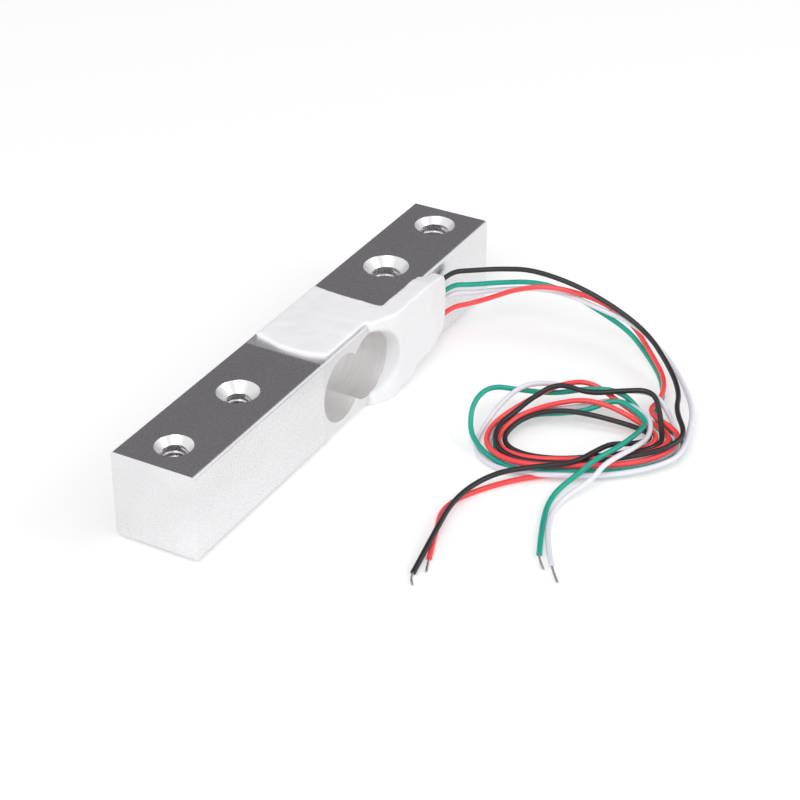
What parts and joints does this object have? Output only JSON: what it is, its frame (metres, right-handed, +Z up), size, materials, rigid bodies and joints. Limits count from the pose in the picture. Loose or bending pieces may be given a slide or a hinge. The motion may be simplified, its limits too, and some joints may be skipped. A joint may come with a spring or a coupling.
{
  "type": "single point load cell",
  "caption": "Square aluminium bar load cell with a twin-circle cut-out, tapped mounting holes at both ends, a silicone gauge coat and bared signal wires.",
  "frame": {"origin": "on the underside of the bar, midway between the two fixed-end holes, where the fixed end is bolted down", "axes": "+X along the bar towards the fixed end, +Y across the bar away from the side the wires leave, +Z up from the fixed seat"},
  "size_m": [0.08, 0.058, 0.0137],
  "materials": {
    "bar": "fine brushed, satin",
    "gauge_film": "matt polyimide film",
    "gauge_foil": "bright foil",
    "board": "matt laminate",
    "pad_metal": "bright copper",
    "enamelled_wire": "clear enamel over copper",
    "solder": "bright solder",
    "silicone": "smooth white silicone",
    "red_insulation": "smooth",
    "white_insulation": "smooth",
    "green_insulation": "smooth",
    "black_insulation": "smooth",
    "coil_insulation": "smooth, four colours bundled",
    "tinned_copper": "tinned strands"
  },
  "bodies": {
    "root": {"bar_body": "bar", "bare_end_black": "tinned_copper", "bare_end_green": "tinned_copper", "bare_end_red": "tinned_copper", "bare_end_white": "tinned_copper", "fine_link_top": "enamelled_wire", "fine_link_under": "enamelled_wire", "fine_wire_top_black": "enamelled_wire", "fine_wire_top_green": "enamelled_wire", "fine_wire_top_red": "enamelled_wire", "fine_wire_under_black": "enamelled_wire", "fine_wire_under_red": "enamelled_wire", "fine_wire_under_white": "enamelled_wire", "gauge_film_top_fixed": "gauge_film", "gauge_film_top_load": "gauge_film", "gauge_film_under_fixed": "gauge_film", "gauge_film_under_load": "gauge_film", "gauge_foil_top_fixed": "gauge_foil", "gauge_foil_top_load": "gauge_foil", "gauge_foil_under_fixed": "gauge_foil", "gauge_foil_under_load": "gauge_foil", "gauge_solder": "solder", "lead_black": "black_insulation", "lead_coil": "coil_insulation", "lead_green": "green_insulation", "lead_red": "red_insulation", "lead_root_black": "black_insulation", "lead_root_green": "green_insulation", "lead_root_red": "red_insulation", "lead_root_white": "white_insulation", "lead_solder_black": "solder", "lead_solder_green": "solder", "lead_solder_red": "solder", "lead_solder_white": "solder", "lead_white": "white_insulation", "silicone_coat": "silicone", "tail_black": "black_insulation", "tail_green": "green_insulation", "tail_red": "red_insulation", "tail_white": "white_insulation", "terminal_board": "board", "terminal_pad_black": "pad_metal", "terminal_pad_green": "pad_metal", "terminal_pad_red": "pad_metal", "terminal_pad_white": "pad_metal", "terminal_solder": "solder"}
  },
  "joints": []
}
